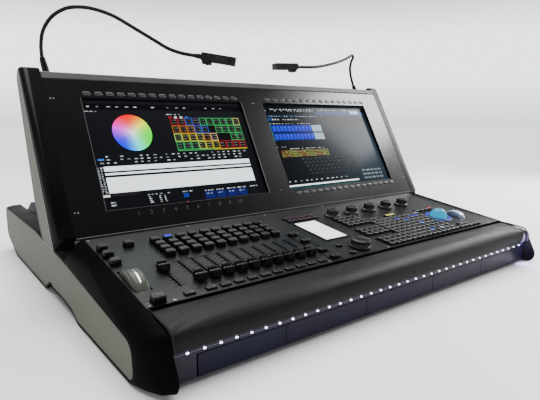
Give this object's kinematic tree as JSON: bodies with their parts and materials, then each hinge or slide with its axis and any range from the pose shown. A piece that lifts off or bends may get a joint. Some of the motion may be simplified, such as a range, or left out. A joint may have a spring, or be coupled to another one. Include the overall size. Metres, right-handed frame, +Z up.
{
  "type": "lighting control desk",
  "caption": "Theatre lighting control desk: sloped control panel with faders, keys, encoders and trackball, twin tilting displays, gooseneck lamps and a keyboard drawer.",
  "frame": {"origin": "on the surface it stands on, under the middle of the whole desk", "axes": "+X to the operator's right, +Y away from the operator, +Z up"},
  "size_m": [1.276, 1.173, 0.702],
  "materials": {
    "chassis_sheet": "satin black powder coat",
    "black_moulding": "fine textured black",
    "grey_inset": "satin grey",
    "panel_sheet": "satin dark grey anodised",
    "connector_metal": "nickel",
    "black_plastic": "moulded",
    "leatherette": "satin grained leatherette",
    "rail_metal": "satin anodised",
    "light_lens": "clear lens, lit",
    "foot_rubber": "matte",
    "touch_glass": "glossy, lit",
    "screw_steel": "bright",
    "hinge_steel": "brushed",
    "module_metal": "plain",
    "board_laminate": "solder mask",
    "bezel_plastic": "gloss black",
    "screen_glass": "glossy display",
    "grey_strip": "satin grey",
    "key_plastic": "satin key caps",
    "neck_rubber": "ribbed sleeve",
    "lamp_metal": "black anodised",
    "fader_plastic": "satin",
    "wheel_plastic": "smoked plastic",
    "clear_plastic": "clear polished",
    "ball_resin": "lit translucent",
    "knob_plastic": "satin knob",
    "drawer_sheet": "satin dark violet"
  },
  "bodies": {
    "root": {"base_tray": "chassis_sheet", "left_cheek": "black_moulding", "right_cheek": "black_moulding", "cheek_insets": "grey_inset", "control_panel": "panel_sheet", "rear_deck": "chassis_sheet", "rear_housing": "chassis_sheet", "rear_panel": "chassis_sheet", "rear_sockets": "connector_metal", "power_inlet": "black_plastic", "wrist_rest": "leatherette", "front_rail": "rail_metal", "led_lenses": "light_lens", "rubber_feet": "foot_rubber", "touchscreen": "touch_glass", "panel_screws": "screw_steel", "hinge_brackets": "hinge_steel", "control_modules": "module_metal", "circuit_board": "board_laminate", "computer_module": "module_metal", "power_supply": "module_metal", "drawer_runners": "hinge_steel"},
    "monitor": {"monitor_shell": "chassis_sheet", "monitor_bezel": "bezel_plastic", "monitor_cheeks": "black_moulding", "monitor_cheek_insets": "grey_inset", "left_screen": "screen_glass", "right_screen": "screen_glass", "monitor_top_strip": "grey_strip", "hinge_arms": "hinge_steel", "lamp_sockets": "black_plastic"},
    "monitor_soft_keys": {"monitor_keys": "key_plastic"},
    "left_lamp": {"left_lamp_neck": "neck_rubber", "left_lamp_head": "lamp_metal"},
    "right_lamp": {"right_lamp_neck": "neck_rubber", "right_lamp_head": "lamp_metal"},
    "grand_master": {"grand_master_fader": "fader_plastic"},
    "rate_wheel_body": {"rate_wheel": "wheel_plastic"},
    "intensity_wheel_body": {"intensity_wheel": "clear_plastic"},
    "trackball_body": {"trackball": "ball_resin"},
    "jog_wheel_body": {"jog_wheel": "knob_plastic"},
    "playback_key_caps": {"playback_keys": "key_plastic"},
    "programmer_key_caps": {"programmer_keys": "key_plastic"},
    "drawer": {"keyboard_drawer": "drawer_sheet"},
    "keyboard_key_caps": {"keyboard_keys": "key_plastic"},
    "fader_1_body": {"fader_1": "fader_plastic"},
    "fader_2_body": {"fader_2": "fader_plastic"},
    "fader_3_body": {"fader_3": "fader_plastic"},
    "fader_4_body": {"fader_4": "fader_plastic"},
    "fader_5_body": {"fader_5": "fader_plastic"},
    "fader_6_body": {"fader_6": "fader_plastic"},
    "fader_7_body": {"fader_7": "fader_plastic"},
    "fader_8_body": {"fader_8": "fader_plastic"},
    "fader_9_body": {"fader_9": "fader_plastic"},
    "fader_10_body": {"fader_10": "fader_plastic"},
    "encoder_1_body": {"encoder_1": "knob_plastic"},
    "encoder_2_body": {"encoder_2": "knob_plastic"},
    "encoder_3_body": {"encoder_3": "knob_plastic"},
    "encoder_4_body": {"encoder_4": "knob_plastic"},
    "encoder_5_body": {"encoder_5": "knob_plastic"}
  },
  "joints": [
    {"name": "monitor_tilt", "type": "hinge", "parent": "root", "child": "monitor", "pos_m": [0, -0.0115, 0.154], "axis": [-1, 0, 0], "range_deg": [0, 60]},
    {"name": "left_lamp_swivel", "type": "hinge", "parent": "monitor", "child": "left_lamp", "pos_m": [-0.566, 0.1245, 0.513], "axis": [0, 0, 1], "range_deg": [-40, 40]},
    {"name": "right_lamp_swivel", "type": "hinge", "parent": "monitor", "child": "right_lamp", "pos_m": [0.566, 0.1245, 0.513], "axis": [0, 0, 1], "range_deg": [-40, 40]},
    {"name": "monitor_keys_press", "type": "slide", "parent": "monitor", "child": "monitor_soft_keys", "axis": [0, 0.8763, -0.4818], "range_m": [0, 0.001], "stiffness_N_per_m": 1500, "springref_m": -0.001},
    {"name": "grand_master_slide", "type": "slide", "parent": "root", "child": "grand_master", "axis": [0, 0.9893, 0.1461], "range_m": [-0.073, 0.027]},
    {"name": "fader_1_slide", "type": "slide", "parent": "root", "child": "fader_1_body", "axis": [0, 0.9893, 0.1461], "range_m": [-0.006, 0.094]},
    {"name": "fader_2_slide", "type": "slide", "parent": "root", "child": "fader_2_body", "axis": [0, 0.9893, 0.1461], "range_m": [-0.006, 0.094]},
    {"name": "fader_3_slide", "type": "slide", "parent": "root", "child": "fader_3_body", "axis": [0, 0.9893, 0.1461], "range_m": [-0.006, 0.094]},
    {"name": "fader_4_slide", "type": "slide", "parent": "root", "child": "fader_4_body", "axis": [0, 0.9893, 0.1461], "range_m": [-0.006, 0.094]},
    {"name": "fader_5_slide", "type": "slide", "parent": "root", "child": "fader_5_body", "axis": [0, 0.9893, 0.1461], "range_m": [-0.006, 0.094]},
    {"name": "fader_6_slide", "type": "slide", "parent": "root", "child": "fader_6_body", "axis": [0, 0.9893, 0.1461], "range_m": [-0.006, 0.094]},
    {"name": "fader_7_slide", "type": "slide", "parent": "root", "child": "fader_7_body", "axis": [0, 0.9893, 0.1461], "range_m": [-0.006, 0.094]},
    {"name": "fader_8_slide", "type": "slide", "parent": "root", "child": "fader_8_body", "axis": [0, 0.9893, 0.1461], "range_m": [-0.006, 0.094]},
    {"name": "fader_9_slide", "type": "slide", "parent": "root", "child": "fader_9_body", "axis": [0, 0.9893, 0.1461], "range_m": [-0.006, 0.094]},
    {"name": "fader_10_slide", "type": "slide", "parent": "root", "child": "fader_10_body", "axis": [0, 0.9893, 0.1461], "range_m": [-0.006, 0.094]},
    {"name": "rate_wheel_spin", "type": "hinge", "parent": "root", "child": "rate_wheel_body", "pos_m": [-0.5575, -0.36109, 0.09039], "axis": [1, 0, 0], "continuous": true},
    {"name": "intensity_wheel_spin", "type": "hinge", "parent": "root", "child": "intensity_wheel_body", "pos_m": [0.49, -0.37416, 0.10362], "axis": [1, 0, 0], "continuous": true},
    {"name": "trackball_roll", "type": "hinge", "parent": "root", "child": "trackball_body", "pos_m": [0.415, -0.36594, 0.13011], "axis": [1, 0, 0], "continuous": true},
    {"name": "jog_wheel_spin", "type": "hinge", "parent": "root", "child": "jog_wheel_body", "pos_m": [-0.014, -0.43193, 0.11834], "axis": [0, -0.1461, 0.9893], "continuous": true},
    {"name": "encoder_1_spin", "type": "hinge", "parent": "root", "child": "encoder_1_body", "pos_m": [0.092, -0.22962, 0.14822], "axis": [0, -0.1461, 0.9893], "continuous": true},
    {"name": "encoder_2_spin", "type": "hinge", "parent": "root", "child": "encoder_2_body", "pos_m": [0.171, -0.22962, 0.14822], "axis": [0, -0.1461, 0.9893], "continuous": true},
    {"name": "encoder_3_spin", "type": "hinge", "parent": "root", "child": "encoder_3_body", "pos_m": [0.25, -0.22962, 0.14822], "axis": [0, -0.1461, 0.9893], "continuous": true},
    {"name": "encoder_4_spin", "type": "hinge", "parent": "root", "child": "encoder_4_body", "pos_m": [0.329, -0.22962, 0.14822], "axis": [0, -0.1461, 0.9893], "continuous": true},
    {"name": "encoder_5_spin", "type": "hinge", "parent": "root", "child": "encoder_5_body", "pos_m": [0.408, -0.22962, 0.14822], "axis": [0, -0.1461, 0.9893], "continuous": true},
    {"name": "playback_keys_press", "type": "slide", "parent": "root", "child": "playback_key_caps", "axis": [0, 0.1461, -0.9893], "range_m": [0, 0.0025], "stiffness_N_per_m": 3000, "springref_m": -0.002},
    {"name": "programmer_keys_press", "type": "slide", "parent": "root", "child": "programmer_key_caps", "axis": [0, 0.1461, -0.9893], "range_m": [0, 0.0025], "stiffness_N_per_m": 3000, "springref_m": -0.002},
    {"name": "drawer_slide", "type": "slide", "parent": "root", "child": "drawer", "axis": [0, -1, 0], "range_m": [0, 0.17]},
    {"name": "keyboard_keys_press", "type": "slide", "parent": "drawer", "child": "keyboard_key_caps", "axis": [0, 0, -1], "range_m": [0, 0.0025], "stiffness_N_per_m": 3000, "springref_m": -0.002}
  ]
}
